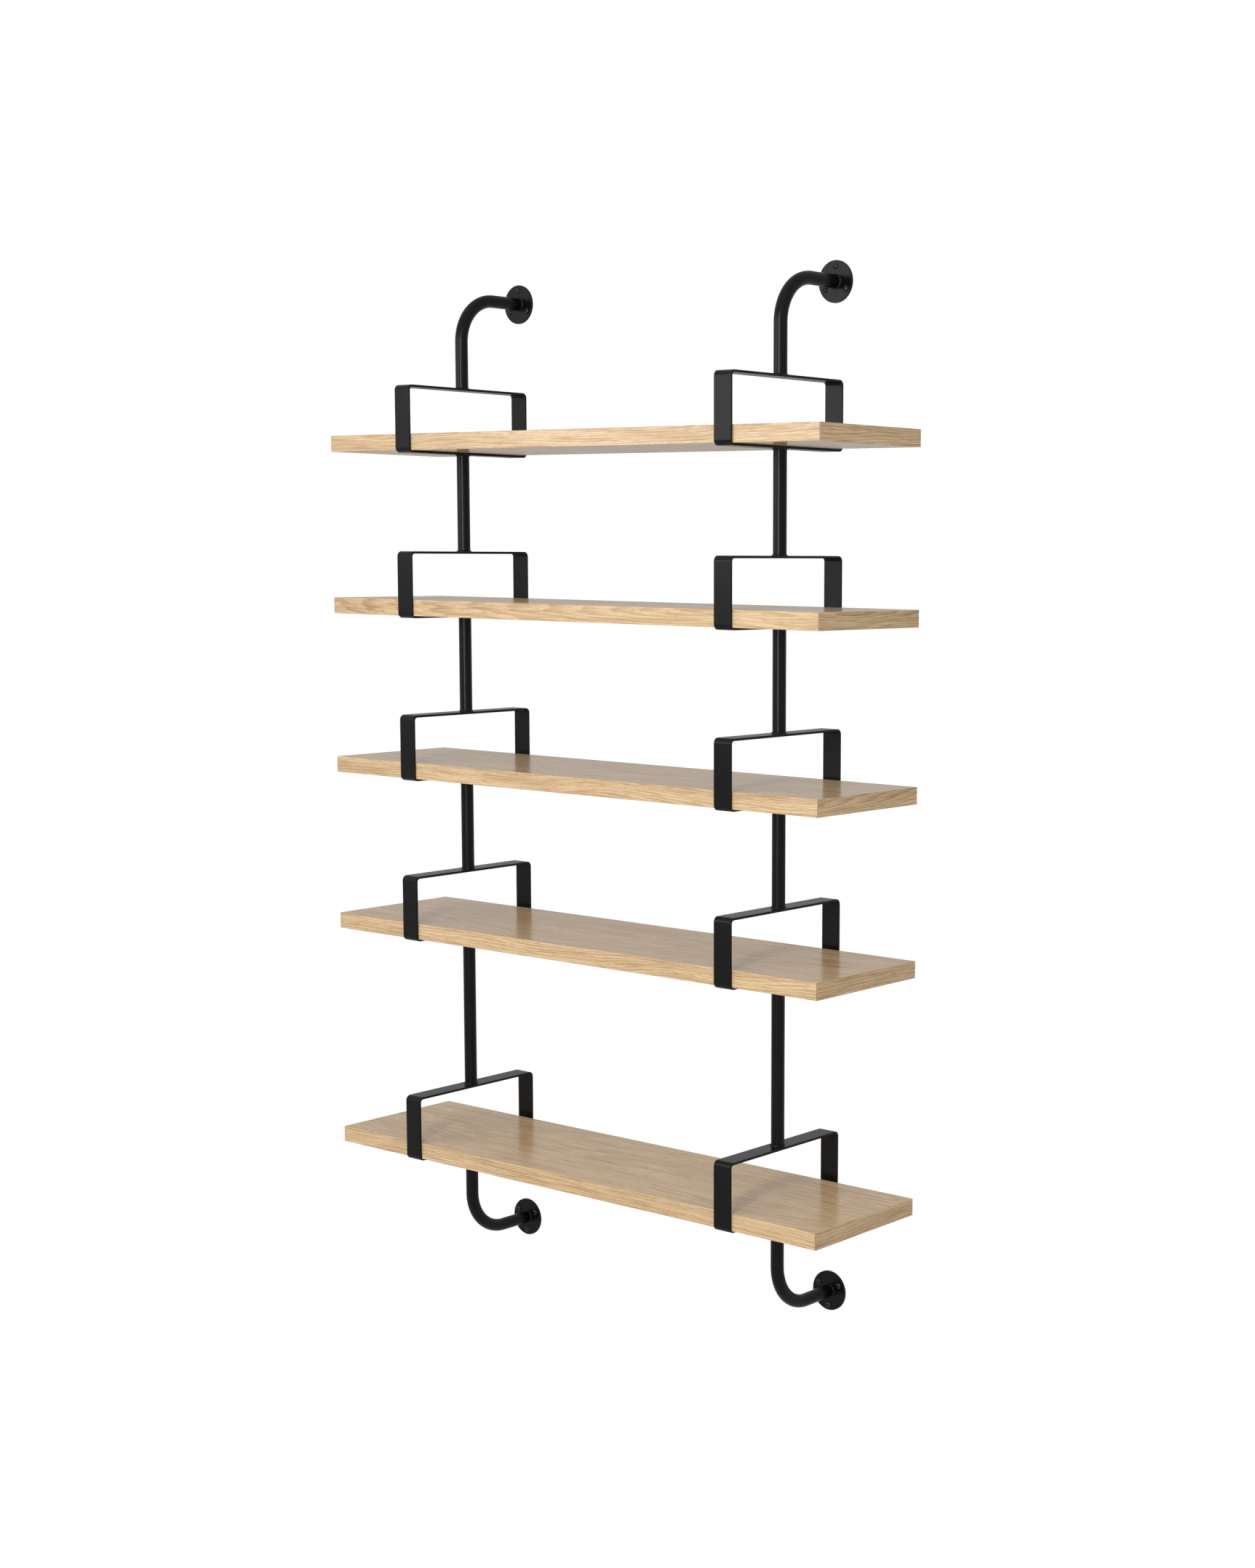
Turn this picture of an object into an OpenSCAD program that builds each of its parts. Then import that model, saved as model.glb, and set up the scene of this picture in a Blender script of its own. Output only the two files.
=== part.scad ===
// Wall shelf with brackets: five oak boards carried by two welded steel uprights.
// Frame: +X to the right and +Z up for someone facing the wall, +Y into the wall.
// The wall is the plane Y = 0. Z = 0 is the height of the two lower wall flanges,
// and X = 0 is the middle between the two uprights.

/* [Boards] */
// Length of each board along the wall
board_length = 1100; // [760:10:1600]
// Depth of each board, front edge to back edge
board_depth = 255; // [200:5:265]
// Thickness of each board
board_thickness = 28; // [18:1:40]
// Height step between the upper four boards
upper_pitch = 283; // [220:1:420]
// Height step between the fourth and the fifth board
lower_pitch = 395; // [260:1:520]
// Width of the small flats that break the edges of a board
board_edge = 0.8; // [0.4:0.1:2]

/* [Uprights] */
// Distance between the two upright axes
upright_spacing = 722; // [500:2:900]
// Outer diameter of the round tube
tube_od = 22; // [18:1:28]
// Wall thickness of the round tube
tube_wall = 1.5; // [1:0.5:2]
// Radius of the tube bends, measured on the tube's centreline
bend_radius = 76; // [50:1:95]
// Height of the upper flanges above the top face of board 1
upper_reach = 240; // [200:1:320]
// Height of the lower flanges below the top face of board 5
lower_reach = 198; // [160:1:280]

/* [Bracket loops] */
// Width of the flat bar that each loop is bent from
bar_width = 35; // [25:1:45]
// Thickness of the flat bar
bar_thickness = 4; // [3:0.5:5]
// Outer depth of a loop, front to back
loop_depth = 280; // [275:1:320]
// Outer height of a loop
loop_height = 115; // [95:1:150]
// Outside radius of the loop's four bent corners
loop_corner = 9; // [7:0.5:14]
// Clearance between the back of the loops and the wall
wall_gap = 2; // [1:0.5:10]

/* [Wall flanges and fasteners] */
// Diameter of a wall flange
flange_diameter = 68; // [60:1:80]
// Thickness of a wall flange
flange_thickness = 4; // [3:0.5:6]
// Bolt circle diameter of the three wall screws in a flange
screw_circle = 49; // [46:0.5:52]
// Diameter of the clearance holes in a flange
flange_hole = 5.5; // [5.2:0.1:6]
// Thread diameter of a wall screw
wall_screw_thread = 5; // [4:0.5:5]
// Diameter of a wall screw's smooth neck, inside the flange
wall_screw_neck = 4; // [3.5:0.1:4.5]
// Length of a wall screw under its head
wall_screw_length = 45; // [30:5:70]
// Head diameter of a wall screw
wall_screw_head = 10.4; // [9:0.2:11]
// Shank diameter of the screws that hold a board down in its loops
board_screw_shank = 4; // [3.5:0.5:4.5]
// Length of a board screw, head included
board_screw_length = 20; // [14:1:20]
// Distance of each board screw from the tube axis
board_screw_offset = 70; // [40:5:100]
// Leg of the small fillet welds
weld_leg = 2; // [1.5:0.5:3]

/* [Hidden] */
$fn = 64;
BOARDS = 5;

tube_r = tube_od / 2;
half_spacing = upright_spacing / 2;
axis_y = -(wall_gap + loop_depth / 2);
loop_front = axis_y - loop_depth / 2;
loop_back = axis_y + loop_depth / 2;
board_front = loop_front + bar_thickness;
board_back = board_front + board_depth;

// Height of the top face of board n, counted from the top
function board_top(n) = lower_reach + (n < BOARDS ? lower_pitch + (BOARDS - 1 - n) * upper_pitch : 0);
// Underside of loop n, which passes right under board n
function loop_bottom(n) = board_top(n) - board_thickness - bar_thickness;
// Top face of loop n
function loop_top(n) = loop_bottom(n) + loop_height;

upper_flange_z = board_top(1) + upper_reach;
lower_flange_z = 0;

screw_crown = 3;
screw_rim = 1;
socket_across_flats = 3;
socket_depth = 1.8;
screw_point = 6;
board_screw_point = 4;
screw_tip = 1;
pilot_clearance = 1;
CUT = 1;
countersink_depth = 2.4;
countersink_diameter = 8.4;
recess_length = 4.4;
recess_width = 1;
recess_depth = 1.6;
flange_edge = 0.6;

OAK = [0.80, 0.66, 0.48];
BLACK = [0.10, 0.10, 0.10];
WELD = [0.13, 0.13, 0.13];
SCREW = [0.16, 0.16, 0.17];
ZINC = [0.70, 0.70, 0.66];

SIDES = ["left", "right"];

function upright_x(side) = side == "left" ? -half_spacing : half_spacing;

// Board n, with small flats on its edges and pilot holes for its screws
module board(n) {
    color(OAK)
    difference() {
        translate([0, board_front, board_top(n) - board_thickness])
            chamfered_board(board_length, board_depth, board_thickness, board_edge);
        board_screw_places(n)
            cylinder(d = board_screw_shank, h = board_screw_length - bar_thickness + pilot_clearance);
    }
}

// A slab centred on X, from Y = 0 and Z = 0, with its twelve edges cut back by e
module chamfered_board(l, d, t, e) {
    intersection() {
        translate([l / 2, 0, 0])
            rotate([0, -90, 0])
                linear_extrude(l)
                    cut_corner_rectangle(t, d, e);
        translate([0, d, 0])
            rotate([90, 0, 0])
                linear_extrude(d)
                    translate([-l / 2, 0])
                        cut_corner_rectangle(l, t, e);
        translate([-l / 2, 0, 0])
            linear_extrude(t)
                cut_corner_rectangle(l, d, e);
    }
}

module cut_corner_rectangle(w, h, e) {
    polygon([[e, 0], [w - e, 0], [w, e], [w, h - e], [w - e, h], [e, h], [0, h - e], [0, e]]);
}

// Places its children at the board screws of level n, at the top face of the loops' lower bars
module board_screw_places(n) {
    for (side = SIDES)
        for (end = [-1, 1])
            translate([upright_x(side), axis_y + end * board_screw_offset, board_top(n) - board_thickness])
                children();
}

// One screw through a loop's lower bar into the board, with its head flush below the bar
module board_screw() {
    translate([0, 0, -bar_thickness])
        difference() {
            union() {
                cylinder(d1 = countersink_diameter, d2 = board_screw_shank, h = countersink_depth);
                cylinder(d = board_screw_shank, h = board_screw_length - board_screw_point);
                translate([0, 0, board_screw_length - board_screw_point])
                    cylinder(d1 = board_screw_shank, d2 = screw_tip, h = board_screw_point);
            }
            for (turn = [0, 90])
                rotate([0, 0, turn])
                    translate([-recess_length / 2, -recess_width / 2, -CUT])
                        cube([recess_length, recess_width, recess_depth + CUT]);
        }
}

module board_screws(n) {
    color(ZINC)
    board_screw_places(n)
        board_screw();
}

// Loop n of one upright: a flat bar bent into a closed rectangle around the board
module loop(side, n) {
    color(BLACK)
    difference() {
        translate([upright_x(side), axis_y, loop_bottom(n) + loop_height / 2])
            bar_loop();
        for (end = [-1, 1])
            translate([upright_x(side), axis_y + end * board_screw_offset, loop_bottom(n)])
                countersunk_hole();
    }
}

module countersunk_hole() {
    translate([0, 0, -CUT])
        cylinder(d = board_screw_shank, h = bar_thickness + 2 * CUT);
    cylinder(d1 = countersink_diameter, d2 = board_screw_shank, h = countersink_depth);
}

// The closed rectangle of flat bar, centred on the origin and standing in the YZ plane
module bar_loop() {
    run_y = loop_depth - 2 * loop_corner;
    run_z = loop_height - 2 * loop_corner;
    for (end = [-1, 1]) {
        translate([-bar_width / 2, -run_y / 2, end * (loop_height - bar_thickness) / 2 - bar_thickness / 2])
            cube([bar_width, run_y, bar_thickness]);
        translate([-bar_width / 2, end * (loop_depth - bar_thickness) / 2 - bar_thickness / 2, -run_z / 2])
            cube([bar_width, bar_thickness, run_z]);
    }
    for (turn = [0:90:270]) {
        across = turn % 180 == 0 ? run_y : run_z;
        up = turn % 180 == 0 ? run_z : run_y;
        rotate([turn, 0, 0])
            translate([0, across / 2, up / 2])
                rotate([90, 0, 90])
                    rotate_extrude(angle = 90)
                        translate([loop_corner - bar_thickness, -bar_width / 2])
                            square([bar_thickness, bar_width]);
    }
}

// Straight tube between loop n and loop n + 1
module tube(side, n) {
    low = loop_top(n + 1);
    high = loop_bottom(n);
    color(BLACK)
    translate([upright_x(side), axis_y, low])
        tube_run(high - low);
}

module tube_run(length) {
    difference() {
        cylinder(r = tube_r, h = length);
        translate([0, 0, -CUT])
            cylinder(r = tube_r - tube_wall, h = length + 2 * CUT);
    }
}

// Bent tube from a foot at height 0 up to a flange at height rise, turning towards the wall
module bend(rise) {
    straight = rise - bend_radius;
    reach = -axis_y - bend_radius - flange_thickness;
    tube_run(straight);
    translate([0, bend_radius, straight])
        rotate([90, 0, 90])
            rotate([0, 0, 90])
                rotate_extrude(angle = 90)
                    translate([bend_radius, 0])
                        difference() {
                            circle(r = tube_r);
                            circle(r = tube_r - tube_wall);
                        }
    translate([0, bend_radius, rise])
        rotate([-90, 0, 0])
            tube_run(reach);
}

module top_bend(side) {
    color(BLACK)
    translate([upright_x(side), axis_y, loop_top(1)])
        bend(upper_flange_z - loop_top(1));
}

module bottom_bend(side) {
    color(BLACK)
    translate([upright_x(side), axis_y, loop_bottom(BOARDS)])
        mirror([0, 0, 1])
            bend(loop_bottom(BOARDS) - lower_flange_z);
}

// Places its children at the three screws of a flange; up is 1 where one screw is at the top
module screw_places(up) {
    for (turn = [0, 120, 240])
        rotate([0, turn, 0])
            translate([0, 0, up * screw_circle / 2])
                children();
}

// Round wall plate, back face on the wall, with three clearance holes
module flange(up) {
    r = flange_diameter / 2;
    color(BLACK)
    difference() {
        rotate([90, 0, 0])
            rotate_extrude()
                polygon([
                    [0, 0], [r, 0], [r, flange_thickness - flange_edge],
                    [r - flange_edge, flange_thickness], [0, flange_thickness]
                ]);
        screw_places(up)
            rotate([90, 0, 0])
                translate([0, 0, -CUT])
                    cylinder(d = flange_hole, h = flange_thickness + 2 * CUT);
    }
}

// Low domed screw with a hexagon socket, head towards -Y, its seat on the flange's front face.
// The thread is a plain cylinder of its outer diameter, and starts at the back of the flange.
module wall_screw() {
    head_r = wall_screw_head / 2;
    dome = screw_crown - screw_rim;
    dome_r = (head_r * head_r + dome * dome) / (2 * dome);
    thread_length = wall_screw_length - screw_point - flange_thickness;
    translate([0, -flange_thickness, 0])
        rotate([90, 0, 0])
            difference() {
                union() {
                    intersection() {
                        cylinder(r = head_r, h = screw_crown);
                        translate([0, 0, screw_crown - dome_r])
                            sphere(r = dome_r);
                    }
                    translate([0, 0, -flange_thickness])
                        cylinder(d = wall_screw_neck, h = flange_thickness);
                    translate([0, 0, screw_point - wall_screw_length])
                        cylinder(d = wall_screw_thread, h = thread_length);
                    translate([0, 0, -wall_screw_length])
                        cylinder(d1 = screw_tip, d2 = wall_screw_thread, h = screw_point);
                }
                translate([0, 0, screw_crown - socket_depth])
                    cylinder(d = socket_across_flats / cos(30), h = socket_depth + CUT, $fn = 6);
            }
}

module wall_screws(up) {
    color(SCREW)
    screw_places(up)
        wall_screw();
}

// Fillet weld around a tube that stands on the plane Z = 0
module weld_ring() {
    rotate_extrude()
        translate([tube_r, 0])
            intersection() {
                circle(r = weld_leg);
                square(weld_leg);
            }
}

// The welds that join the tubes and bends of one upright to its loops
module upright_welds(side) {
    color(WELD)
    for (n = [1:BOARDS]) {
        translate([upright_x(side), axis_y, loop_top(n)])
            weld_ring();
        translate([upright_x(side), axis_y, loop_bottom(n)])
            mirror([0, 0, 1])
                weld_ring();
    }
}

// The welds that join the four bends to their flanges
module flange_welds() {
    color(WELD)
    for (side = SIDES)
        for (z = [lower_flange_z, upper_flange_z])
            translate([upright_x(side), -flange_thickness, z])
                rotate([90, 0, 0])
                    weld_ring();
}

for (n = [1:BOARDS]) {
    board(n);
    board_screws(n);
    for (side = SIDES)
        loop(side, n);
}
for (side = SIDES) {
    x = upright_x(side);
    for (n = [1:BOARDS - 1])
        tube(side, n);
    top_bend(side);
    bottom_bend(side);
    translate([x, 0, upper_flange_z]) flange(1);
    translate([x, 0, lower_flange_z]) flange(-1);
    translate([x, 0, upper_flange_z]) wall_screws(1);
    translate([x, 0, lower_flange_z]) wall_screws(-1);
    upright_welds(side);
}
flange_welds();
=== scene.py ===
import math

import bmesh
import bpy
from mathutils import Matrix, Vector


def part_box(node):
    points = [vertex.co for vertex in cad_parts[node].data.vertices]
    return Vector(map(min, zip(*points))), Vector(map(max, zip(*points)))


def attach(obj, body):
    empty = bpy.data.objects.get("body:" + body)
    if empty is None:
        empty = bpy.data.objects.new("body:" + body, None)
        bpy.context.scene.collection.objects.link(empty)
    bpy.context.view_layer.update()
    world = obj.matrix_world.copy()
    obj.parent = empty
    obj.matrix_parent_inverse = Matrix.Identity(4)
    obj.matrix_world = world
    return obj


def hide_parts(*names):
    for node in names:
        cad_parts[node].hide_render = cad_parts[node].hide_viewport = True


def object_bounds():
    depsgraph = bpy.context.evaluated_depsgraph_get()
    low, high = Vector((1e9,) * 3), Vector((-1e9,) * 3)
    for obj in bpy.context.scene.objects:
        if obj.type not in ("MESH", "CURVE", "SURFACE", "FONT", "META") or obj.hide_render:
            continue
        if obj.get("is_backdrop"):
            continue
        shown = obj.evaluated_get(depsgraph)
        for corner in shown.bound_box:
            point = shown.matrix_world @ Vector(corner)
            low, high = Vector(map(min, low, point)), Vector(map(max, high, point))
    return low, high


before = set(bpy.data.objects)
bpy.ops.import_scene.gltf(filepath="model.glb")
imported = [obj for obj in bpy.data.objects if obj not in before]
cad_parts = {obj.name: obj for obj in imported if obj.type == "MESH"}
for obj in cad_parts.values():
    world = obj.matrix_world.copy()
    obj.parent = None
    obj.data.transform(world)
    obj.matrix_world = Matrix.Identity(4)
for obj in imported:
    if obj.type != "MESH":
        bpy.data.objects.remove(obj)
cad_low, cad_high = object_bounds()

MM = 0.001
BODY = "root"
SIDES = ("left", "right")
ENDS = ("upper", "lower")
LEVELS = range(1, 6)
TUBE_SEGMENTS = 64

# ---------------------------------------------------------------- sizes taken from the CAD frame

board_low, board_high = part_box("board_1")
board_length, board_depth, board_thickness = board_high - board_low
loop_low, loop_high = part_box("left_loop_1")
bar_width, loop_depth, loop_height = loop_high - loop_low
tube_low, tube_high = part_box("left_tube_1")
tube_radius = (tube_high.x - tube_low.x) / 2
flange_low, flange_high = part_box("left_upper_flange")
flange_radius = (flange_high.x - flange_low.x) / 2
flange_thickness = flange_high.y - flange_low.y
bar_thickness = board_low.z - loop_low.z
axis_y = (tube_low.y + tube_high.y) / 2

# Sizes that the frame's boxes don't show
TUBE_WALL = 1.5 * MM
BEND_RADIUS = 76 * MM
LOOP_CORNER = 9 * MM
WELD_LEG = 2 * MM
SCREW_CIRCLE_RADIUS = 24.5 * MM
BOARD_SCREW_OFFSET = 70 * MM


def upright_x(side):
    """Where the upright's axis stands along X."""
    low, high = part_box(side + "_tube_1")
    return (low.x + high.x) / 2


def flange_centre(side, end):
    """The middle of a flange's back face, on the wall."""
    low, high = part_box(f"{side}_{end}_flange")
    return Vector(((low.x + high.x) / 2, high.y, (low.z + high.z) / 2))


# ---------------------------------------------------------------- shader helpers


def shader_node(tree, kind, inputs=None, **settings):
    """Adds a node, sets its properties, and fills or links its inputs."""
    made = tree.nodes.new(kind)
    for key, value in settings.items():
        setattr(made, key, value)
    for key, value in (inputs or {}).items():
        if isinstance(value, bpy.types.NodeSocket):
            tree.links.new(value, made.inputs[key])
        else:
            made.inputs[key].default_value = value
    return made


def new_material(name):
    """An empty material with a Principled shader wired to its output."""
    material = bpy.data.materials.new(name)
    material.use_nodes = True
    tree = material.node_tree
    tree.nodes.clear()
    surface = tree.nodes.new("ShaderNodeBsdfPrincipled")
    output = tree.nodes.new("ShaderNodeOutputMaterial")
    tree.links.new(surface.outputs["BSDF"], output.inputs["Surface"])
    return material, tree, surface


def maths(tree, operation, first, second=0.0, third=0.0):
    """One Math node's result."""
    made = shader_node(tree, "ShaderNodeMath", {0: first, 1: second, 2: third}, operation=operation)
    return made.outputs[0]


def noise(tree, vector, scale, detail=3.0, roughness=0.55):
    """One noise texture's value."""
    made = shader_node(
        tree,
        "ShaderNodeTexNoise",
        {"Vector": vector, "Scale": scale, "Detail": detail, "Roughness": roughness},
    )
    return made.outputs["Fac"]


def stretch(tree, value, low, high, to_low=0.0, to_high=1.0):
    """Maps a range of values smoothly onto another one."""
    made = shader_node(
        tree,
        "ShaderNodeMapRange",
        {"Value": value, "From Min": low, "From Max": high, "To Min": to_low, "To Max": to_high},
        interpolation_type="SMOOTHSTEP",
    )
    return made.outputs["Result"]


def mix_colour(tree, factor, first, second):
    """One colour mix's result."""
    made = tree.nodes.new("ShaderNodeMix")
    made.data_type = "RGBA"
    for socket, value in ((made.inputs[0], factor), (made.inputs[6], first), (made.inputs[7], second)):
        if isinstance(value, bpy.types.NodeSocket):
            tree.links.new(value, socket)
        else:
            socket.default_value = value
    return made.outputs[2]


def bump(tree, height, distance, strength, normal=None):
    """One bump node's normal."""
    inputs = {"Height": height, "Distance": distance, "Strength": strength}
    if normal is not None:
        inputs["Normal"] = normal
    return shader_node(tree, "ShaderNodeBump", inputs).outputs["Normal"]


# ---------------------------------------------------------------- materials

OAK_LIGHT = (0.765, 0.556, 0.326, 1)
OAK_DARK = (0.400, 0.240, 0.110, 1)
OAK_PORE = (0.200, 0.110, 0.050, 1)
OAK_GLUE = (0.230, 0.105, 0.050, 1)
BASE_TONE = -0.42
BROAD_SHARE = 0.62
FIBRE_SHARE = 0.24
PORE_SHARE = 0.60
GLUE_SHARE = 0.8
OAK_ROUGHNESS = 0.17
BAND_DULLS = 0.07
PORES_DULL = 0.16
SEED_STEP = 7.31
HEART_ACROSS = 0.04
HEART_ALONG = 0.4
RING_DRIFT = 3.4


def oak(name, seed, along, across, ring_step, curve, sway, rings, streaks, seam_at=None):
    """Lacquered oak veneer whose grain runs along one local axis of the board. Lengths are in metres.

    along and across are axis letters. ring_step is the width of a growth ring. curve bends the rings into
    long arches and sway lets the grain wander sideways. rings and streaks say how strongly each shows, and
    seam_at is where along the board the glue line of its end band lies.
    """
    material, tree, surface = new_material(name)
    place = tree.nodes.new("ShaderNodeTexCoord").outputs["Object"]
    axes = shader_node(tree, "ShaderNodeSeparateXYZ", {"Vector": place}).outputs
    run, side = axes[along.upper()], axes[across.upper()]

    def grain(length, width, offset, across_at=side):
        """Coordinates in which one unit is a streak of the given length and width."""
        made = shader_node(
            tree,
            "ShaderNodeCombineXYZ",
            {
                "X": maths(tree, "DIVIDE", run, length),
                "Y": maths(tree, "DIVIDE", across_at, width),
                "Z": seed * SEED_STEP + offset,
            },
        )
        return made.outputs["Vector"]

    wander = maths(tree, "MULTIPLY_ADD", noise(tree, grain(0.45, 0.14, 0.0), 1.0, 2.0), sway, -sway / 2)
    bent = maths(tree, "ADD", side, wander)
    heart = maths(tree, "ADD", bent, HEART_ACROSS * math.sin(seed * 2.4))
    reach = maths(tree, "MULTIPLY", maths(tree, "ADD", run, HEART_ALONG * math.cos(seed * 1.7)), curve)
    heart_squared = maths(tree, "MULTIPLY", heart, heart)
    ring = maths(tree, "SQRT", maths(tree, "MULTIPLY_ADD", reach, reach, heart_squared))
    uneven = maths(tree, "MULTIPLY", noise(tree, grain(0.5, 0.02, 2.2), 1.0, 3.0), RING_DRIFT)
    phase = maths(tree, "FRACT", maths(tree, "ADD", maths(tree, "DIVIDE", ring, ring_step), uneven))
    late_wood = maths(tree, "MULTIPLY", stretch(tree, phase, 0.25, 0.85), stretch(tree, phase, 1.0, 0.88))

    broad = noise(tree, grain(0.34, 0.026, 1.7, bent), 1.0, 2.0)
    band = stretch(tree, noise(tree, grain(0.16, 0.0060, 3.1, bent), 1.0, 3.0, 0.6), 0.36, 0.66)
    streak = stretch(tree, noise(tree, grain(0.070, 0.0024, 4.4, bent), 1.0, 3.0, 0.6), 0.40, 0.68)
    fibre = noise(tree, grain(0.040, 0.0009, 5.3, bent), 1.0, 3.0, 0.6)
    dash = stretch(tree, noise(tree, grain(0.018, 0.0007, 8.9, bent), 1.0, 1.0), 0.56, 0.70)
    pores = maths(tree, "MULTIPLY", dash, stretch(tree, phase, 0.80, 0.30, 0.30, 1.0))

    tone = maths(tree, "MULTIPLY_ADD", broad, BROAD_SHARE, BASE_TONE)
    for layer, share in ((late_wood, rings), (band, streaks), (streak, streaks), (fibre, FIBRE_SHARE)):
        tone = maths(tree, "MULTIPLY_ADD", layer, share, tone)
    colour = mix_colour(tree, tone, OAK_LIGHT, OAK_DARK)
    colour = mix_colour(tree, maths(tree, "MULTIPLY", pores, PORE_SHARE), colour, OAK_PORE)
    if seam_at is not None:
        from_seam = maths(tree, "ABSOLUTE", maths(tree, "SUBTRACT", axes["X"], seam_at))
        glue = stretch(tree, from_seam, 1.1 * MM, 0.5 * MM)
        colour = mix_colour(tree, maths(tree, "MULTIPLY", glue, GLUE_SHARE), colour, OAK_GLUE)
    tree.links.new(colour, surface.inputs["Base Color"])

    lacquer = maths(tree, "MULTIPLY_ADD", band, BAND_DULLS, OAK_ROUGHNESS)
    dull = maths(tree, "MULTIPLY_ADD", pores, PORES_DULL, lacquer)
    tree.links.new(dull, surface.inputs["Roughness"])
    fine = bump(tree, maths(tree, "SUBTRACT", 1.0, pores), 0.02 * MM, 0.5)
    waves = bump(tree, noise(tree, grain(0.30, 0.040, 11.0), 1.0, 1.0), 0.2 * MM, 0.3, fine)
    tree.links.new(waves, surface.inputs["Normal"])
    surface.inputs["Specular IOR Level"].default_value = 0.5
    return material


NIB_SIZE = 1.4 * MM
NIB_SHARE = 0.25
PEEL_STRENGTH = 0.16
NIB_STRENGTH = 0.08


def coated_steel(name, colour, roughness, specular, peel_size, peel_depth):
    """Black powder coat: a fine orange peel, slow tone changes and a few dust nibs."""
    material, tree, surface = new_material(name)
    place = tree.nodes.new("ShaderNodeTexCoord").outputs["Object"]
    slow = noise(tree, place, 9.0, 3.0)
    speck = noise(tree, place, 1.0 / NIB_SIZE, 1.0)
    darker = tuple(c * 0.72 for c in colour) + (1,)
    lighter = tuple(c * 1.30 for c in colour) + (1,)
    base = mix_colour(tree, stretch(tree, slow, 0.3, 0.7), darker, lighter)
    nibs = stretch(tree, speck, 0.74, 0.80)
    nib_colour = tuple(c * 3.0 for c in colour) + (1,)
    base = mix_colour(tree, maths(tree, "MULTIPLY", nibs, NIB_SHARE), base, nib_colour)
    tree.links.new(base, surface.inputs["Base Color"])
    shine = maths(tree, "MULTIPLY_ADD", slow, 0.10, roughness - 0.05)
    tree.links.new(maths(tree, "MULTIPLY_ADD", speck, 0.05, shine), surface.inputs["Roughness"])
    peel = noise(tree, place, 1.0 / peel_size, 2.0, 0.5)
    first = bump(tree, peel, peel_depth, PEEL_STRENGTH)
    tree.links.new(bump(tree, nibs, peel_depth, NIB_STRENGTH, first), surface.inputs["Normal"])
    surface.inputs["Specular IOR Level"].default_value = specular
    return material


CLOUD_SIZE = 1.5 * MM


def zinc_plate(name):
    """Bright zinc with the slightly uneven blush of a plated screw."""
    material, tree, surface = new_material(name)
    place = tree.nodes.new("ShaderNodeTexCoord").outputs["Object"]
    cloud = noise(tree, place, 1.0 / CLOUD_SIZE, 3.0)
    base = mix_colour(tree, cloud, (0.56, 0.55, 0.50, 1), (0.74, 0.72, 0.62, 1))
    tree.links.new(base, surface.inputs["Base Color"])
    tree.links.new(stretch(tree, cloud, 0.2, 0.8, 0.25, 0.42), surface.inputs["Roughness"])
    tree.links.new(bump(tree, cloud, 0.02 * MM, 0.5), surface.inputs["Normal"])
    surface.inputs["Metallic"].default_value = 1.0
    return material


POWDER_COAT = coated_steel(
    "black_powder_coat",
    colour=(0.0032, 0.0032, 0.0034),
    roughness=0.25,
    specular=0.20,
    peel_size=0.55 * MM,
    peel_depth=0.006 * MM,
)
WELD_COAT = coated_steel(
    "coated_weld",
    colour=(0.0060, 0.0060, 0.0062),
    roughness=0.34,
    specular=0.24,
    peel_size=0.40 * MM,
    peel_depth=0.010 * MM,
)
SCREW_BLACK = coated_steel(
    "black_oxide_screw",
    colour=(0.009, 0.009, 0.0095),
    roughness=0.26,
    specular=0.40,
    peel_size=0.30 * MM,
    peel_depth=0.004 * MM,
)
ZINC = zinc_plate("zinc_plated_screw")

# ---------------------------------------------------------------- mesh helpers

SHARP = math.radians(35)


def make_piece(name, mesh, nodes, at=(0, 0, 0), materials=()):
    """Puts a mesh in the scene as one finished piece of the object."""
    for material in materials:
        mesh.materials.append(material)
    piece = bpy.data.objects.new(name, mesh)
    piece.location = at
    bpy.context.scene.collection.objects.link(piece)
    even = piece.modifiers.new("even_normals", "WEIGHTED_NORMAL")
    even.keep_sharp = True
    even.weight = 80
    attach(piece, BODY)
    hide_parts(*nodes)
    return piece


def finish_mesh(name, bm, sharp_above=None):
    """Turns a bmesh into smooth-shaded mesh data, with sharp edges above an angle."""
    bmesh.ops.recalc_face_normals(bm, faces=bm.faces)
    for face in bm.faces:
        face.smooth = True
    if sharp_above is not None:
        for edge in bm.edges:
            if len(edge.link_faces) == 2 and edge.calc_face_angle() > sharp_above:
                edge.smooth = False
    mesh = bpy.data.meshes.new(name)
    bm.to_mesh(mesh)
    bm.free()
    return mesh


def full_turn(count):
    """Evenly spaced angles round a full turn."""
    return [2 * math.pi * i / count for i in range(count)]


def bridge_rings(bm, rings, closed):
    """Joins rings of points into a skin of quads. A closed row of rings joins its last to its first."""
    rows = [[bm.verts.new(point) for point in ring] for ring in rings]
    for near, far in list(zip(rows, rows[1:])) + ([(rows[-1], rows[0])] if closed else []):
        for i in range(len(near)):
            j = (i + 1) % len(near)
            bm.faces.new((near[i], near[j], far[j], far[i]))
    return rows


def lathe(name, profile, segments):
    """A mesh of (radius, height) points turned round Z. A point on the axis closes the form with a fan."""
    bm = bmesh.new()
    rows = []
    for radius, height in profile:
        angles = full_turn(segments) if radius else [0.0]
        rows.append([bm.verts.new((radius * math.cos(a), radius * math.sin(a), height)) for a in angles])
    for near, far in zip(rows, rows[1:]):
        for i in range(segments):
            j = (i + 1) % segments
            quad = [near[i % len(near)], near[j % len(near)], far[j % len(far)], far[i % len(far)]]
            bm.faces.new(list(dict.fromkeys(quad)))
    return finish_mesh(name, bm)


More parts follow.
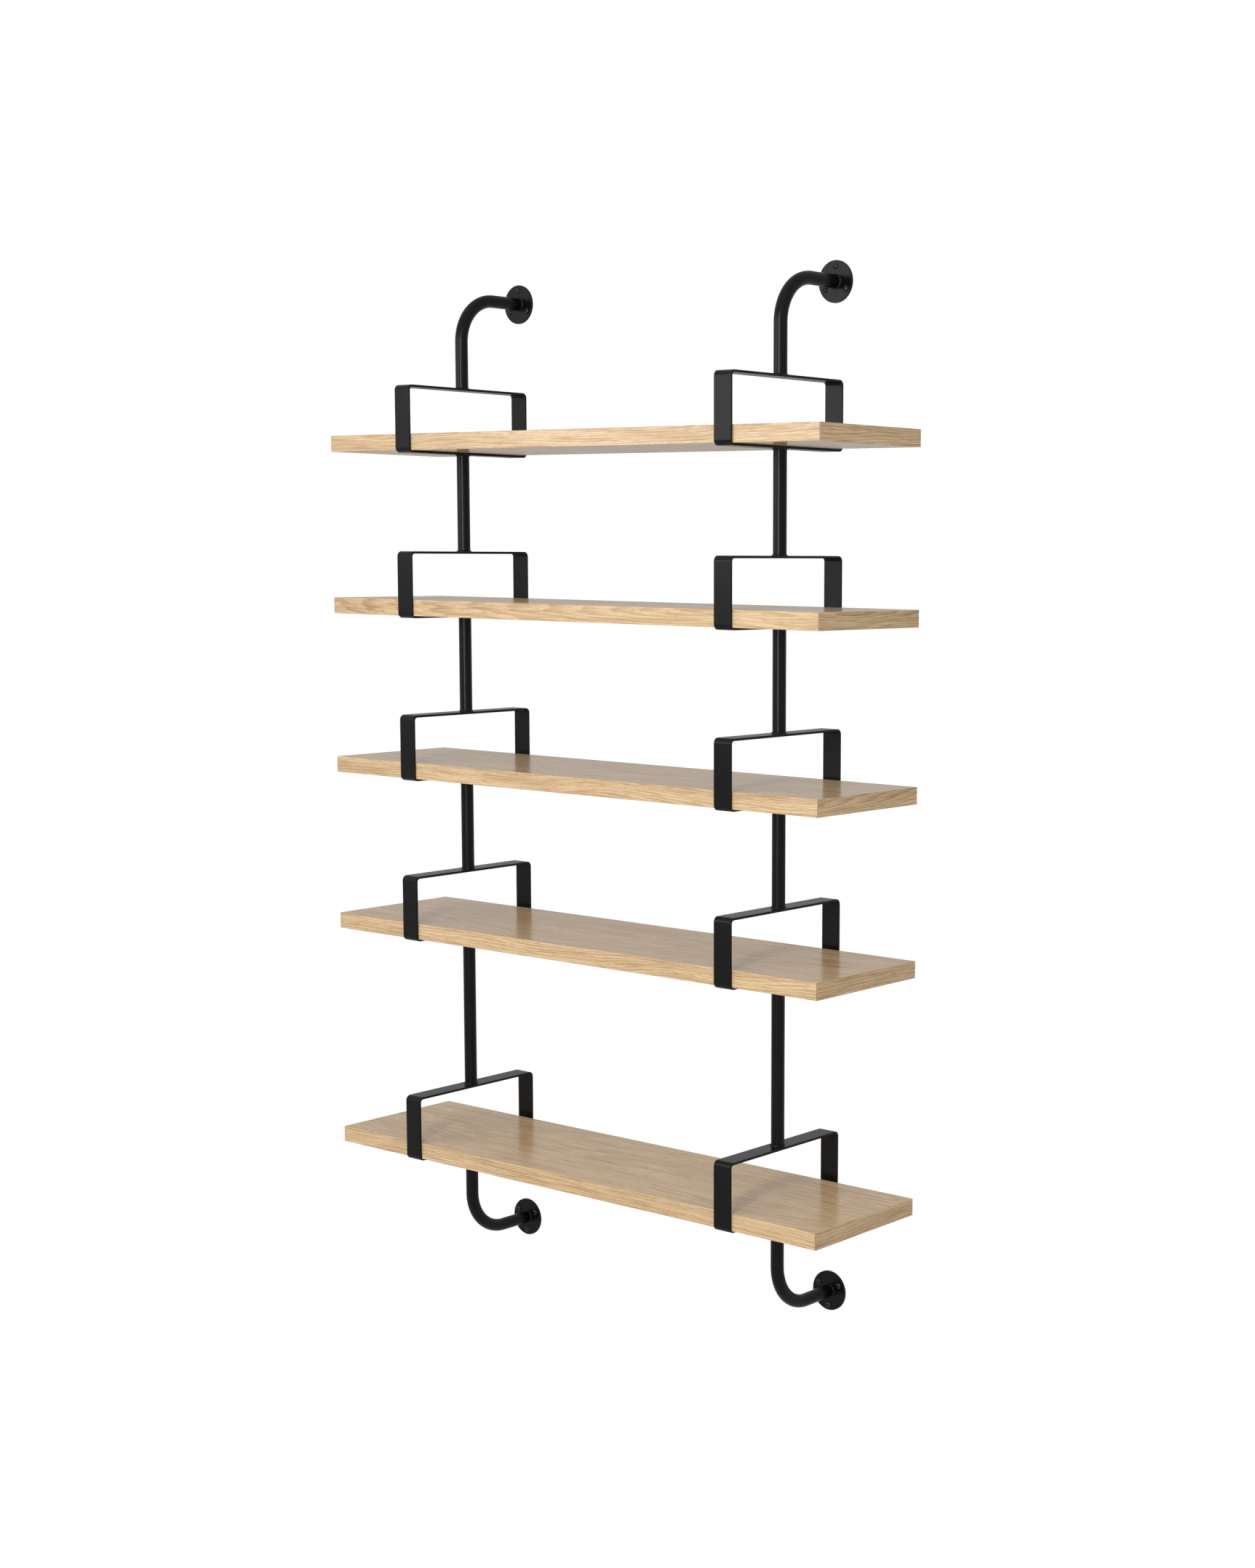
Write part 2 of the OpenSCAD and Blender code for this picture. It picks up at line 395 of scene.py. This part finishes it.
def arc(centre, radius, start, end, steps):
    """Points of a circular arc in a plane, angles in degrees, both ends included."""
    angles = [math.radians(start + (end - start) * i / steps) for i in range(steps + 1)]
    return [(centre[0] + radius * math.cos(a), centre[1] + radius * math.sin(a)) for a in angles]


def rounded_rectangle(width, height, radius, steps):
    """The outline of a rounded rectangle around the origin, anticlockwise."""
    half_w, half_h = width / 2 - radius, height / 2 - radius
    points = []
    for quarter, (sx, sy) in enumerate(((1, 1), (-1, 1), (-1, -1), (1, -1))):
        points += arc((sx * half_w, sy * half_h), radius, 90 * quarter, 90 * quarter + 90, steps)
    return points


def copies(name, source, matrices):
    """One mesh that holds a copy of another at each matrix."""
    bm = bmesh.new()
    for matrix in matrices:
        part = source.copy()
        part.transform(matrix)
        bm.from_mesh(part)
        bpy.data.meshes.remove(part)
    mesh = bpy.data.meshes.new(name)
    bm.to_mesh(mesh)
    bm.free()
    for material in source.materials:
        mesh.materials.append(material)
    return mesh


def cut(mesh, cutter):
    """The mesh with a cutter's space taken out of it, as new mesh data."""
    body = bpy.data.objects.new("cut_body", mesh)
    tool = bpy.data.objects.new("cut_tool", cutter)
    for thing in (body, tool):
        bpy.context.scene.collection.objects.link(thing)
    modifier = body.modifiers.new("cut", "BOOLEAN")
    modifier.operation = "DIFFERENCE"
    modifier.solver = "EXACT"
    modifier.object = tool
    bpy.context.view_layer.update()
    result = bpy.data.meshes.new_from_object(body.evaluated_get(bpy.context.evaluated_depsgraph_get()))
    for thing in (body, tool):
        bpy.data.objects.remove(thing)
    return result


def coat(mesh, material):
    """Marks a cut mesh's sharp edges and gives it its one material."""
    bm = bmesh.new()
    bm.from_mesh(mesh)
    for face in bm.faces:
        face.smooth = True
    for edge in bm.edges:
        edge.smooth = not (len(edge.link_faces) == 2 and edge.calc_face_angle() > SHARP)
    bm.to_mesh(mesh)
    bm.free()
    mesh.materials.clear()
    mesh.materials.append(material)
    return mesh

# ---------------------------------------------------------------- boards

EDGE_ROUND = 0.8 * MM
END_BAND = 1.0 * MM
GLUE_LINE = board_length / 2 - END_BAND
FACE_RINGS = 11.0 * MM
BAND_RINGS = 3.8 * MM
FACE_GRAIN = dict(
    along="x", across="y", ring_step=FACE_RINGS, curve=0.085, sway=0.060, rings=0.36, streaks=0.22
)
FRONT_GRAIN = dict(
    along="x", across="z", ring_step=BAND_RINGS, curve=0.044, sway=0.034, rings=0.40, streaks=0.30
)
END_GRAIN = dict(
    along="y", across="z", ring_step=BAND_RINGS, curve=0.060, sway=0.034, rings=0.46, streaks=0.34
)
FRONT_SLOT, END_SLOT = 1, 2


def board_mesh(name):
    """A slab around the origin with all its edges rounded. Faces are sorted by the veneer they carry."""
    bm = bmesh.new()
    bmesh.ops.create_cube(bm, size=1.0)
    bmesh.ops.scale(bm, vec=(board_length, board_depth, board_thickness), verts=bm.verts)
    bmesh.ops.bevel(bm, geom=list(bm.edges), offset=EDGE_ROUND, segments=4, profile=0.5, affect="EDGES")
    bm.normal_update()
    for face in bm.faces:
        facing = [abs(c) for c in face.normal]
        if facing[0] > max(facing[1], facing[2]):
            face.material_index = END_SLOT
        elif facing[1] > facing[2]:
            face.material_index = FRONT_SLOT
    return finish_mesh(name, bm)


for level in LEVELS:
    low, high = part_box(f"board_{level}")
    veneers = (
        oak(f"oak_face_{level}", level, **FACE_GRAIN),
        oak(f"oak_front_band_{level}", level + 11, **FRONT_GRAIN, seam_at=GLUE_LINE),
        oak(f"oak_end_band_{level}", level + 23, **END_GRAIN),
    )
    name = f"oak_board_{level}"
    make_piece(name, board_mesh(name), [f"board_{level}"], (low + high) / 2, veneers)

# ---------------------------------------------------------------- bracket loops

BAR_EDGE = 0.7 * MM
COUNTERSINK_RADIUS = 4.2 * MM
COUNTERSINK_DEPTH = 2.4 * MM
SHANK_RADIUS = 2.0 * MM
SMALL_SEGMENTS = 32
CORNER_STEPS = 12


def loop_mesh():
    """Flat bar with rounded edges, swept round the closed rectangle of a loop, with two countersunk holes."""
    centre_radius = LOOP_CORNER - bar_thickness / 2
    deep, tall = loop_depth - bar_thickness, loop_height - bar_thickness
    path = rounded_rectangle(deep, tall, centre_radius, CORNER_STEPS)
    half_y, half_z = deep / 2 - centre_radius, tall / 2 - centre_radius
    section = rounded_rectangle(bar_width, bar_thickness, BAR_EDGE, 3)
    rings = []
    for y, z in path:
        corner = Vector((0, math.copysign(half_y, y), math.copysign(half_z, z)))
        out = (Vector((0, y, z)) - corner).normalized()
        rings.append([Vector((0, y, z)) + Vector((x, 0, 0)) + out * n for x, n in section])
    bm = bmesh.new()
    bridge_rings(bm, rings, closed=True)
    solid = finish_mesh("bar_loop", bm)

    beyond = 0.5 * MM
    slope = (COUNTERSINK_RADIUS - SHANK_RADIUS) / COUNTERSINK_DEPTH
    hole_outline = [
        (0, -beyond),
        (COUNTERSINK_RADIUS + slope * beyond, -beyond),
        (SHANK_RADIUS, COUNTERSINK_DEPTH),
        (SHANK_RADIUS, bar_thickness + beyond),
        (0, bar_thickness + beyond),
    ]
    hole = lathe("loop_hole", hole_outline, SMALL_SEGMENTS)
    places = [Matrix.Translation((0, s * BOARD_SCREW_OFFSET, -loop_height / 2)) for s in (-1, 1)]
    return coat(cut(solid, copies("loop_holes", hole, places)), POWDER_COAT)


loop_data = loop_mesh()
for side in SIDES:
    for level in LEVELS:
        node = f"{side}_loop_{level}"
        low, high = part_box(node)
        make_piece(f"bar_loop_{side}_{level}", loop_data, [node], (low + high) / 2)

# ---------------------------------------------------------------- tubes and bends

RING_STEP = 20 * MM
BEND_STEPS = 32
REACH_STEPS = 4


def tube_mesh(name, path):
    """A hollow round tube along a path of (y, z) points in the plane X = 0, with open bore and flat ends."""
    last = len(path) - 1
    skins = []
    for radius in (tube_radius, tube_radius - TUBE_WALL):
        rings = []
        for i, (y, z) in enumerate(path):
            before, after = path[max(i - 1, 0)], path[min(i + 1, last)]
            heading = Vector((0, after[0] - before[0], after[1] - before[1])).normalized()
            if i in (0, last):
                heading = Vector((0, round(heading.y), round(heading.z)))
            outward = Vector((1, 0, 0)).cross(heading)
            rings.append(
                [
                    Vector((radius * math.cos(a), y, z)) + outward * radius * math.sin(a)
                    for a in full_turn(TUBE_SEGMENTS)
                ]
            )
        skins.append(rings)
    bm = bmesh.new()
    bridge_rings(bm, skins[0] + skins[1][::-1], closed=True)
    mesh = finish_mesh(name, bm, SHARP)
    mesh.materials.append(POWDER_COAT)
    return mesh


def straight_path(height):
    """(y, z) points straight up from the origin."""
    count = max(2, math.ceil(height / RING_STEP))
    return [(0.0, height * i / count) for i in range(count + 1)]


def bend_path(rise, reach):
    """(y, z) points up from the origin to a height, round a quarter turn and on towards the wall."""
    straight = abs(rise) - BEND_RADIUS
    flat = reach - BEND_RADIUS
    points = straight_path(straight)[:-1]
    points += [(BEND_RADIUS + y, straight + z) for y, z in arc((0, 0), BEND_RADIUS, 180, 90, BEND_STEPS)]
    points += [(BEND_RADIUS + flat * i / REACH_STEPS, abs(rise)) for i in range(1, REACH_STEPS + 1)]
    return [(y, math.copysign(z, rise) if z else 0.0) for y, z in points]


for side in SIDES:
    x = upright_x(side)
    for level in LEVELS[:-1]:
        low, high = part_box(f"{side}_tube_{level}")
        name = f"round_tube_{side}_{level}"
        mesh = tube_mesh(name, straight_path(high.z - low.z))
        make_piece(name, mesh, [f"{side}_tube_{level}"], (x, axis_y, low.z))
    top_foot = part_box(f"{side}_loop_{LEVELS[0]}")[1].z
    bottom_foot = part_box(f"{side}_loop_{LEVELS[-1]}")[0].z
    for bend, end, foot in (("top", "upper", top_foot), ("bottom", "lower", bottom_foot)):
        wall = flange_centre(side, end)
        name = f"bent_tube_{side}_{bend}"
        mesh = tube_mesh(name, bend_path(wall.z - foot, wall.y - flange_thickness - axis_y))
        make_piece(name, mesh, [f"{side}_{bend}_bend"], (x, axis_y, foot))

# ---------------------------------------------------------------- welds

WELD_RIPPLES = 44
WELD_SEGMENTS = 8 * WELD_RIPPLES
RIPPLE_SHARE = 0.05
WAVER_SHARE = 0.03
WELD_STEPS = 6
WELD_SHARP = math.radians(60)


def weld_mesh():
    """A fillet weld round a tube that stands on Z = 0, with the small ripples of the weld pool."""
    bm = bmesh.new()
    rings = []
    for a in full_turn(WELD_SEGMENTS):
        ripple = 1 - RIPPLE_SHARE + RIPPLE_SHARE * abs(math.sin(WELD_RIPPLES * a / 2))
        waver = 1 - WAVER_SHARE + WAVER_SHARE * math.sin(3 * a + 1.0)
        profile = arc((0, 0), WELD_LEG * ripple * waver, 0, 90, WELD_STEPS)
        outline = [(tube_radius, 0.0)] + [(tube_radius + r, h) for r, h in profile]
        rings.append([Vector((r * math.cos(a), r * math.sin(a), h)) for r, h in outline])
    bridge_rings(bm, rings, closed=True)
    mesh = finish_mesh("fillet_weld", bm, WELD_SHARP)
    mesh.materials.append(WELD_COAT)
    return mesh


weld = weld_mesh()
FLIP = Matrix.Rotation(math.pi, 4, "X")
FACE_ROOM = Matrix.Rotation(math.pi / 2, 4, "X")
for side in SIDES:
    places = []
    for level in LEVELS:
        low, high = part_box(f"{side}_loop_{level}")
        places.append(Matrix.Translation((0, 0, high.z)))
        places.append(Matrix.Translation((0, 0, low.z)) @ FLIP)
    name = f"tube_welds_{side}"
    at = (upright_x(side), axis_y, 0)
    make_piece(name, copies(name, weld, places), [f"{side}_upright_welds"], at)
flange_places = [
    Matrix.Translation(flange_centre(side, end) - Vector((0, flange_thickness, 0))) @ FACE_ROOM
    for side in SIDES
    for end in ENDS
]
rings = copies("flange_weld_rings", weld, flange_places)
make_piece("flange_weld_rings", rings, ["flange_welds"])

# ---------------------------------------------------------------- flanges

FLANGE_EDGE = 0.6 * MM
FLANGE_BACK_EDGE = 0.25 * MM
FLANGE_HOLE_RADIUS = 2.75 * MM
FLANGE_SEGMENTS = 96
CUT_OVER = 1 * MM


def screw_turns(end):
    """Where the three screws of a flange stand: one at the top above, one at the bottom below."""
    first = 90 if end == "upper" else -90
    return [math.radians(first + 120 * i) for i in range(3)]


def flange_mesh(end):
    """A round plate with its back on Z = 0 and its face towards +Z, with three screw holes."""
    back, front = flange_radius - FLANGE_BACK_EDGE, flange_radius - FLANGE_EDGE
    outline = [(0, 0)]
    outline += arc((back, FLANGE_BACK_EDGE), FLANGE_BACK_EDGE, -90, 0, 2)
    outline += arc((front, flange_thickness - FLANGE_EDGE), FLANGE_EDGE, 0, 90, 4)
    outline += [(0, flange_thickness)]
    hole_outline = [
        (0, -CUT_OVER),
        (FLANGE_HOLE_RADIUS, -CUT_OVER),
        (FLANGE_HOLE_RADIUS, flange_thickness + CUT_OVER),
        (0, flange_thickness + CUT_OVER),
    ]
    plate = lathe("plate", outline, FLANGE_SEGMENTS)
    hole = lathe("plate_hole", hole_outline, SMALL_SEGMENTS)
    places = [
        Matrix.Translation((SCREW_CIRCLE_RADIUS * math.cos(a), SCREW_CIRCLE_RADIUS * math.sin(a), 0))
        for a in screw_turns(end)
    ]
    mesh = cut(plate, copies("plate_holes", hole, places))
    mesh.transform(FACE_ROOM)
    return coat(mesh, POWDER_COAT)


# ---------------------------------------------------------------- wall screws

HEAD_RADIUS = 5.2 * MM
HEAD_HEIGHT = 3.0 * MM
HEAD_RIM = 1.0 * MM
SOCKET_RADIUS = 1.5 * MM / math.cos(math.radians(30))
SOCKET_DEPTH = 1.8 * MM
THREAD_RADIUS = 2.5 * MM
THREAD_ROOT = 1.65 * MM
THREAD_PITCH = 2.2 * MM
NECK_RADIUS = 2.0 * MM
POINT_LENGTH = 6.0 * MM
POINT_FLAT = 0.25 * MM
SCREW_LENGTH = 45.0 * MM
SOCKET_CONE = 0.5 * MM
RIM_SHARE = 0.9
DOME_STEPS = 8
HEAD_SEGMENTS = 48
THREAD_SEGMENTS = 24
STEPS_PER_PITCH = 8
FLANK_STEEPNESS = 3.2
FIRST_SCREW_TURN = 0.4
NEXT_SCREW_TURN = 0.9


def screw_head_mesh():
    """A dome on Z = 0 with a hexagon socket from above."""
    dome = HEAD_HEIGHT - HEAD_RIM
    dome_radius = (HEAD_RADIUS**2 + dome**2) / (2 * dome)
    tilt = math.degrees(math.asin(HEAD_RADIUS / dome_radius))
    crown = arc((0, HEAD_HEIGHT - dome_radius), dome_radius, 90 - tilt, 90, DOME_STEPS)
    outline = [(0, 0), (HEAD_RADIUS, 0), (HEAD_RADIUS, HEAD_RIM * RIM_SHARE)]
    outline += crown[1:-1] + [(0, HEAD_HEIGHT)]
    floor = HEAD_HEIGHT - SOCKET_DEPTH
    socket_outline = [
        (0, floor - SOCKET_CONE),
        (SOCKET_RADIUS, floor),
        (SOCKET_RADIUS, HEAD_HEIGHT + CUT_OVER),
        (0, HEAD_HEIGHT + CUT_OVER),
    ]
    return cut(lathe("screw_head", outline, HEAD_SEGMENTS), lathe("socket", socket_outline, 6))


def screw_shank_mesh():
    """A smooth neck down from Z = 0, and below the flange's back a helical thread that ends in a point."""
    thread_top = -flange_thickness
    run = SCREW_LENGTH - flange_thickness
    steps = int(run / THREAD_PITCH * STEPS_PER_PITCH)
    rings = [[(NECK_RADIUS, 0.0)] * THREAD_SEGMENTS, [(NECK_RADIUS, thread_top)] * THREAD_SEGMENTS]
    for i in range(steps + 1):
        depth = run * i / steps
        narrow = min(1.0, (run - depth + POINT_FLAT) / POINT_LENGTH)
        ring = []
        for k in range(THREAD_SEGMENTS):
            turn = (depth / THREAD_PITCH + k / THREAD_SEGMENTS) % 1.0
            ridge = max(0.0, 1.0 - abs(turn - 0.5) * FLANK_STEEPNESS)
            ring.append(((THREAD_ROOT + (THREAD_RADIUS - THREAD_ROOT) * ridge) * narrow, thread_top - depth))
        rings.append(ring)
    angles = full_turn(THREAD_SEGMENTS)
    bm = bmesh.new()
    rows = bridge_rings(
        bm,
        [[(r * math.cos(a), r * math.sin(a), z) for a, (r, z) in zip(angles, ring)] for ring in rings],
        closed=False,
    )
    bm.faces.new(rows[0])
    bm.faces.new(rows[-1])
    return finish_mesh("screw_shank", bm)


def wall_screw_mesh():
    """Head and shank together. The head stands on Z = 0 towards +Z, the thread goes down."""
    joined = bmesh.new()
    for part in (screw_head_mesh(), screw_shank_mesh()):
        joined.from_mesh(part)
    screw = bpy.data.meshes.new("wall_screw")
    joined.to_mesh(screw)
    joined.free()
    return coat(screw, SCREW_BLACK)


wall_screw = wall_screw_mesh()
for end in ENDS:
    flange_data = flange_mesh(end)
    for side in SIDES:
        centre = flange_centre(side, end)
        node = f"{side}_{end}_flange"
        make_piece(f"wall_flange_{side}_{end}", flange_data, [node], centre)
        places = []
        for i, a in enumerate(screw_turns(end)):
            at = (SCREW_CIRCLE_RADIUS * math.cos(a), -flange_thickness, SCREW_CIRCLE_RADIUS * math.sin(a))
            driven = Matrix.Rotation(FIRST_SCREW_TURN + NEXT_SCREW_TURN * i, 4, "Z")
            places.append(Matrix.Translation(at) @ FACE_ROOM @ driven)
        name = f"wall_screws_{side}_{end}_set"
        node = f"{side}_{end}_wall_screws"
        make_piece(name, copies(name, wall_screw, places), [node], centre)

# ---------------------------------------------------------------- board screws

BOARD_SCREW_LENGTH = 20.0 * MM
BOARD_SCREW_POINT = 4.0 * MM
RECESS_LENGTH = 4.4 * MM
RECESS_WIDTH = 1.0 * MM
RECESS_DEPTH = 1.6 * MM
RECESS_TURN = 20
HEAD_SUNK = 0.05 * MM
BOARD_SCREW_TIP = 0.5 * MM


def board_screw_mesh():
    """A countersunk screw with a cross recess, head flush on Z = 0 and point towards +Z."""
    outline = [
        (0, HEAD_SUNK),
        (COUNTERSINK_RADIUS - 3 * HEAD_SUNK, HEAD_SUNK),
        (COUNTERSINK_RADIUS - HEAD_SUNK, 3 * HEAD_SUNK),
        (SHANK_RADIUS, COUNTERSINK_DEPTH),
        (SHANK_RADIUS, BOARD_SCREW_LENGTH - BOARD_SCREW_POINT),
        (BOARD_SCREW_TIP, BOARD_SCREW_LENGTH),
        (0, BOARD_SCREW_LENGTH),
    ]
    screw = lathe("board_screw", outline, SMALL_SEGMENTS)
    for turned in (RECESS_TURN, RECESS_TURN + 90):
        bm = bmesh.new()
        bmesh.ops.create_cube(bm, size=1.0)
        bmesh.ops.scale(bm, vec=(RECESS_LENGTH, RECESS_WIDTH, 2 * RECESS_DEPTH), verts=bm.verts)
        bmesh.ops.rotate(bm, matrix=Matrix.Rotation(math.radians(turned), 3, "Z"), verts=bm.verts)
        screw = cut(screw, finish_mesh("recess", bm))
    return coat(screw, ZINC)


board_screw = board_screw_mesh()
board_screw_places = [
    Matrix.Translation((upright_x(side), axis_y + way * BOARD_SCREW_OFFSET, 0))
    for side in SIDES
    for way in (-1, 1)
]
for level in LEVELS:
    low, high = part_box(f"left_loop_{level}")
    name = f"countersunk_screws_{level}"
    screws = copies(name, board_screw, board_screw_places)
    make_piece(name, screws, [f"board_screws_{level}"], (0, 0, low.z))

# ---------------------------------------------------------------- floor, light and camera

SHEET_REACH = 30.0
FLOOR_DROP = 0.35
WALL_GAP = 0.2 * MM
FLOOR_LIGHT = 0.58
WALL_LIGHT = 0.54
SKY_LIGHT = 0.72
WHITE = (1.0, 1.0, 1.0, 1.0)


def make_backdrop(name, middle, right, up, lit_strength):
    """A plain white sheet that takes no shadow. It is white for the camera and lights the object more softly.

    right and up lead from its middle to its edges. It can be looked through from behind, so that the shelf's
    back and underside stay in view.
    """
    middle, right, up = Vector(middle), Vector(right), Vector(up)
    corners = [middle - right - up, middle + right - up, middle + right + up, middle - right + up]
    mesh = bpy.data.meshes.new(name)
    mesh.from_pydata(corners, [], [(0, 1, 2, 3)])
    material = bpy.data.materials.new(name)
    material.use_nodes = True
    tree = material.node_tree
    tree.nodes.clear()
    seen = tree.nodes.new("ShaderNodeLightPath").outputs["Is Camera Ray"]
    strength = maths(tree, "MULTIPLY_ADD", seen, 1.0 - lit_strength, lit_strength)
    front = shader_node(tree, "ShaderNodeEmission", {"Color": WHITE, "Strength": strength}).outputs[0]
    behind = tree.nodes.new("ShaderNodeNewGeometry").outputs["Backfacing"]
    clear = tree.nodes.new("ShaderNodeBsdfTransparent").outputs[0]
    result = shader_node(tree, "ShaderNodeMixShader", {0: behind, 1: front, 2: clear}).outputs[0]
    output = tree.nodes.new("ShaderNodeOutputMaterial")
    tree.links.new(result, output.inputs["Surface"])
    mesh.materials.append(material)
    sheet = bpy.data.objects.new(name, mesh)
    bpy.context.scene.collection.objects.link(sheet)
    sheet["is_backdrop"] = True


def make_world():
    """White for the camera, and a softer light on the object."""
    world = bpy.data.worlds.new("studio")
    world.use_nodes = True
    tree = world.node_tree
    tree.nodes.clear()
    seen = tree.nodes.new("ShaderNodeLightPath").outputs["Is Camera Ray"]
    light = shader_node(tree, "ShaderNodeBackground", {"Color": WHITE, "Strength": SKY_LIGHT})
    shown = shader_node(tree, "ShaderNodeBackground", {"Color": WHITE, "Strength": 1.0})
    mixed = shader_node(tree, "ShaderNodeMixShader", {0: seen, 1: light.outputs[0], 2: shown.outputs[0]})
    output = tree.nodes.new("ShaderNodeOutputWorld")
    tree.links.new(mixed.outputs[0], output.inputs["Surface"])
    bpy.context.scene.world = world


def make_light(name, at, target, width, height, watts):
    """A soft rectangular light that faces a point."""
    data = bpy.data.lights.new(name, "AREA")
    data.shape = "RECTANGLE"
    data.size, data.size_y = width, height
    data.energy = watts
    light = bpy.data.objects.new(name, data)
    light.location = at
    light.rotation_euler = (Vector(target) - Vector(at)).to_track_quat("-Z", "Y").to_euler()
    bpy.context.scene.collection.objects.link(light)


def make_camera(at, yaw, pitch, roll, lens, shift_x, shift_y):
    """The photograph's view: from the front right, a little below the top board. Angles are in degrees."""
    data = bpy.data.cameras.new("camera")
    data.lens = lens
    data.sensor_width = 36.0
    data.shift_x = shift_x
    data.shift_y = shift_y
    camera = bpy.data.objects.new("camera", data)
    turn = Matrix.Rotation(math.radians(yaw), 4, "Z")
    turn = turn @ Matrix.Rotation(math.pi / 2 + math.radians(pitch), 4, "X")
    turn = turn @ Matrix.Rotation(math.radians(roll), 4, "Z")
    camera.matrix_world = Matrix.Translation(at) @ turn
    bpy.context.scene.collection.objects.link(camera)
    bpy.context.scene.camera = camera


across, deep, tall = (SHEET_REACH, 0, 0), (0, SHEET_REACH, 0), (0, 0, SHEET_REACH)
make_backdrop("studio_floor", (0, 0, cad_low.z - FLOOR_DROP), across, deep, FLOOR_LIGHT)
make_backdrop("studio_wall", (0, flange_high.y + WALL_GAP, 0), across, tall, WALL_LIGHT)
make_world()
make_light("key", at=(1.2, -3.3, 1.6), target=(0.2, -0.15, 1.0), width=0.36, height=2.1, watts=54)
make_light("fill", at=(-1.6, -3.1, 1.8), target=(0.0, -0.15, 1.0), width=2.3, height=1.1, watts=19)
make_camera(
    at=(2.7842, -3.0943, 1.2604),
    yaw=36.56,
    pitch=-7.21,
    roll=0.56,
    lens=54.625,
    shift_x=-0.1705,
    shift_y=0.0397,
)
bpy.context.scene.view_settings.view_transform = "Standard"

low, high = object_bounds()
